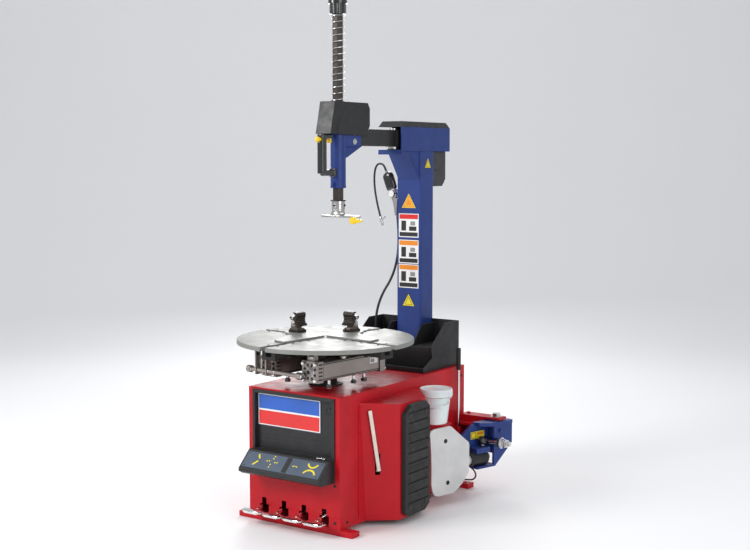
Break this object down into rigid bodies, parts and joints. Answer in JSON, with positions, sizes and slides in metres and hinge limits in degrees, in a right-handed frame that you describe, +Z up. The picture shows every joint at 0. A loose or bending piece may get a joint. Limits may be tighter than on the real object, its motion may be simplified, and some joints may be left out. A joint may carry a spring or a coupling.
{
  "type": "tire changer",
  "caption": "Swing-arm tire changer: pedal console, clamping turntable, bead breaker arm, tool column and spring-loaded hexagonal tool bar.",
  "frame": {"origin": "on the floor plane, at the centre of the four anchor holes in the foot bars", "axes": "+Z up, -Y out of the pedal side, +X towards the bead breaker side"},
  "size_m": [0.751, 1.082, 1.844],
  "materials": {
    "red_paint": "gloss",
    "blue_paint": "gloss",
    "black_paint": "satin",
    "dark_grey_paint": "matte",
    "black_plastic": "fine grain",
    "panel_plate": "printed",
    "table_steel": "satin",
    "machined_steel": "brushed",
    "polished_chrome": "polished",
    "bare_aluminium": "satin",
    "black_rubber": "matte",
    "yellow_plastic": "gloss",
    "white_plastic": "satin",
    "dark_iron": "cast",
    "motor_grey": "satin",
    "hose_black": "satin"
  },
  "bodies": {
    "machine": {"base_frame": "red_paint", "cabinet_shell": "red_paint", "left_side_panel": "red_paint", "side_box": "red_paint", "wheel_rest_pad": "black_rubber", "console_housing": "black_plastic", "console_plates": "panel_plate", "tool_tray": "black_plastic", "column": "blue_paint", "column_head": "blue_paint", "column_cap": "black_plastic", "rear_cover": "dark_grey_paint", "pivot_pins": "machined_steel", "gearbox": "dark_iron", "motor": "motor_grey", "drive_belt": "hose_black", "breaker_cylinder": "bare_aluminium", "breaker_bracket": "red_paint", "pedal_frame": "dark_grey_paint", "small_brackets": "red_paint", "inflator": "black_plastic", "air_hose": "hose_black", "whip_hose": "hose_black", "whip_chuck": "polished_chrome", "exhaust_loop": "hose_black"},
    "swing_arm": {"swing_arm": "black_paint", "head_sleeve": "blue_paint", "head_cover": "black_plastic", "head_handle": "black_plastic", "bar_spring": "polished_chrome"},
    "lock_button": {"lock_button": "yellow_plastic"},
    "tool_bar": {"hex_bar": "polished_chrome", "top_knob": "black_plastic", "mount_head": "polished_chrome", "head_insert": "yellow_plastic"},
    "turntable": {"turntable_plate": "table_steel", "chuck_body": "dark_iron", "clamp_cylinders": "bare_aluminium"},
    "slide_left": {"slide_left": "table_steel", "jaw_left": "dark_iron"},
    "slide_rear": {"slide_rear": "table_steel", "jaw_rear": "dark_iron"},
    "slide_front": {"slide_front": "table_steel"},
    "slide_right": {"slide_right": "table_steel"},
    "gearbox_pulley": {"gearbox_pulley": "dark_iron"},
    "motor_pulley": {"motor_pulley": "dark_iron"},
    "breaker_arm": {"breaker_arm": "blue_paint"},
    "breaker_blade": {"breaker_blade": "machined_steel"},
    "blade_lock_pin": {"blade_lock_pin": "black_plastic"},
    "breaker_rod": {"breaker_rod": "polished_chrome"},
    "pedal_1": {"pedal_1": "bare_aluminium"},
    "pedal_2": {"pedal_2": "bare_aluminium"},
    "pedal_3": {"pedal_3": "bare_aluminium"},
    "pedal_4": {"pedal_4": "bare_aluminium"},
    "bucket": {"bucket": "white_plastic"},
    "bucket_lid": {"bucket_lid": "white_plastic"},
    "tyre_lever": {"tyre_lever": "machined_steel"},
    "long_lever": {"long_lever": "polished_chrome", "lever_grip": "black_rubber"},
    "inflator_trigger": {"inflator_trigger": "polished_chrome"}
  },
  "joints": [
    {"name": "arm_swing", "type": "hinge", "parent": "machine", "child": "swing_arm", "pos_m": [0, 0.216, 1.36], "axis": [0, 0, 1], "range_deg": [-90, 0]},
    {"name": "bar_slide", "type": "slide", "parent": "swing_arm", "child": "tool_bar", "axis": [0, 0, 1], "range_m": [-0.225, 0], "stiffness_N_per_m": 400, "springref_m": 0.25, "deforming": ["bar_spring"]},
    {"name": "lock_button", "type": "slide", "parent": "swing_arm", "child": "lock_button", "axis": [0, 1, 0], "range_m": [0, 0.005], "stiffness_N_per_m": 500, "springref_m": -0.01},
    {"name": "turntable_spin", "type": "hinge", "parent": "machine", "child": "turntable", "pos_m": [0, -0.222, 0.5], "axis": [0, 0, 1], "continuous": true},
    {"name": "jaw_left", "type": "slide", "parent": "turntable", "child": "slide_left", "axis": [-0.9945, 0.1045, 0], "range_m": [0, 0.105]},
    {"name": "jaw_rear", "type": "slide", "parent": "turntable", "child": "slide_rear", "axis": [0.1045, 0.9945, 0], "range_m": [0, 0.105]},
    {"name": "jaw_front", "type": "slide", "parent": "turntable", "child": "slide_front", "axis": [-0.1045, -0.9945, 0], "range_m": [0, 0.105]},
    {"name": "jaw_right", "type": "slide", "parent": "turntable", "child": "slide_right", "axis": [0.9945, -0.1045, 0], "range_m": [0, 0.105]},
    {"name": "gearbox_pulley_spin", "type": "hinge", "parent": "machine", "child": "gearbox_pulley", "pos_m": [-0.13, -0.177, 0.33], "axis": [1, 0, 0], "continuous": true},
    {"name": "motor_pulley_spin", "type": "hinge", "parent": "machine", "child": "motor_pulley", "pos_m": [-0.13, 0.06, 0.2], "axis": [1, 0, 0], "continuous": true},
    {"name": "breaker_swing", "type": "hinge", "parent": "machine", "child": "breaker_arm", "pos_m": [0.345, 0.42, 0.2], "axis": [0, 0, 1], "range_deg": [0, 30]},
    {"name": "blade_tilt", "type": "hinge", "parent": "breaker_arm", "child": "breaker_blade", "pos_m": [0.3527, 0.4178, 0.145], "axis": [-0.2756, -0.9613, 0], "range_deg": [-8, 8]},
    {"name": "blade_pin_lift", "type": "slide", "parent": "breaker_arm", "child": "blade_lock_pin", "axis": [0, 0, 1], "range_m": [0, 0.012], "stiffness_N_per_m": 800, "springref_m": -0.01},
    {"name": "breaker_rod_slide", "type": "slide", "parent": "machine", "child": "breaker_rod", "axis": [1, 0, 0], "range_m": [0, 0.037]},
    {"name": "pedal_1", "type": "hinge", "parent": "machine", "child": "pedal_1", "pos_m": [-0.133, -0.19, 0.062], "axis": [1, 0, 0], "range_deg": [0, 6], "stiffness_Nm_per_rad": 4, "springref_deg": -17.19},
    {"name": "pedal_2", "type": "hinge", "parent": "machine", "child": "pedal_2", "pos_m": [-0.044, -0.19, 0.062], "axis": [1, 0, 0], "range_deg": [0, 6], "stiffness_Nm_per_rad": 4, "springref_deg": -17.19},
    {"name": "pedal_3", "type": "hinge", "parent": "machine", "child": "pedal_3", "pos_m": [0.044, -0.19, 0.062], "axis": [1, 0, 0], "range_deg": [0, 6], "stiffness_Nm_per_rad": 4, "springref_deg": -17.19},
    {"name": "pedal_4", "type": "hinge", "parent": "machine", "child": "pedal_4", "pos_m": [0.132, -0.19, 0.062], "axis": [1, 0, 0], "range_deg": [0, 6], "stiffness_Nm_per_rad": 4, "springref_deg": -17.19},
    {"name": "bucket_lift", "type": "slide", "parent": "machine", "child": "bucket", "axis": [0, 0, 1], "range_m": [0, 0.1]},
    {"name": "lid_lift", "type": "slide", "parent": "bucket", "child": "bucket_lid", "axis": [0, 0, 1], "range_m": [0, 0.06]},
    {"name": "tyre_lever_pull", "type": "slide", "parent": "machine", "child": "tyre_lever", "axis": [0.7071, -0.7071, 0], "range_m": [0, 0.1]},
    {"name": "long_lever_lift", "type": "slide", "parent": "machine", "child": "long_lever", "axis": [0, 0, 1], "range_m": [0, 0.25]},
    {"name": "inflator_trigger", "type": "hinge", "parent": "machine", "child": "inflator_trigger", "pos_m": [-0.08149, 0.338, 1.12632], "axis": [0, 1, 0], "range_deg": [0, 10], "stiffness_Nm_per_rad": 0.3, "springref_deg": -17.19}
  ],
  "couplings": [
    {"joint": "jaw_rear", "follows": "jaw_left", "ratio": 1},
    {"joint": "jaw_front", "follows": "jaw_left", "ratio": 1},
    {"joint": "jaw_right", "follows": "jaw_left", "ratio": 1},
    {"joint": "motor_pulley_spin", "follows": "gearbox_pulley_spin", "ratio": 2},
    {"joint": "breaker_rod_slide", "follows": "breaker_swing", "m_per_rad": 0.0688}
  ]
}
